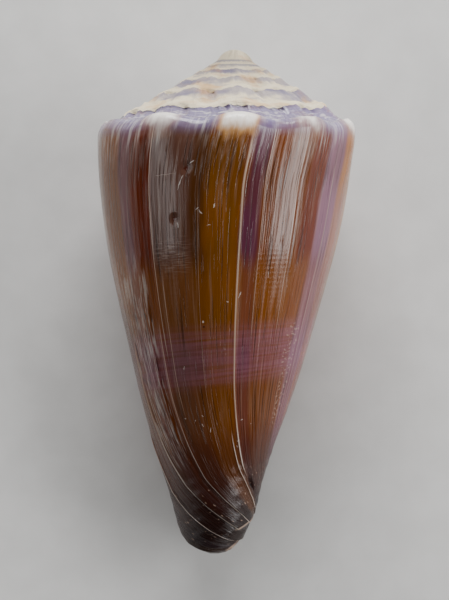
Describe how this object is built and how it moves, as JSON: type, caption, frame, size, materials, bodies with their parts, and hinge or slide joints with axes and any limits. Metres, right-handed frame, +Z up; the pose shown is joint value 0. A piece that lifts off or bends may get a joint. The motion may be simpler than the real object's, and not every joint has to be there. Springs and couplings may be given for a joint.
{
  "type": "cone shell",
  "caption": "Empty conical seashell with a low knobbly spire, a long narrow aperture and a tapering body; lies on its aperture side for display.",
  "frame": {"origin": "middle of the box's underside: the shell lies on its aperture side on z = 0", "axes": "+Y towards the tip of the spire, +Z up through the back of the body whorl, +X to the right when seen from above with the spire away"},
  "size_m": [0.0206, 0.04, 0.0197],
  "materials": {
    "shell": "silky, worn natural shell: brown and violet body, chalky white spire and nodules"
  },
  "bodies": {
    "root": {"shell": "shell"}
  },
  "joints": []
}
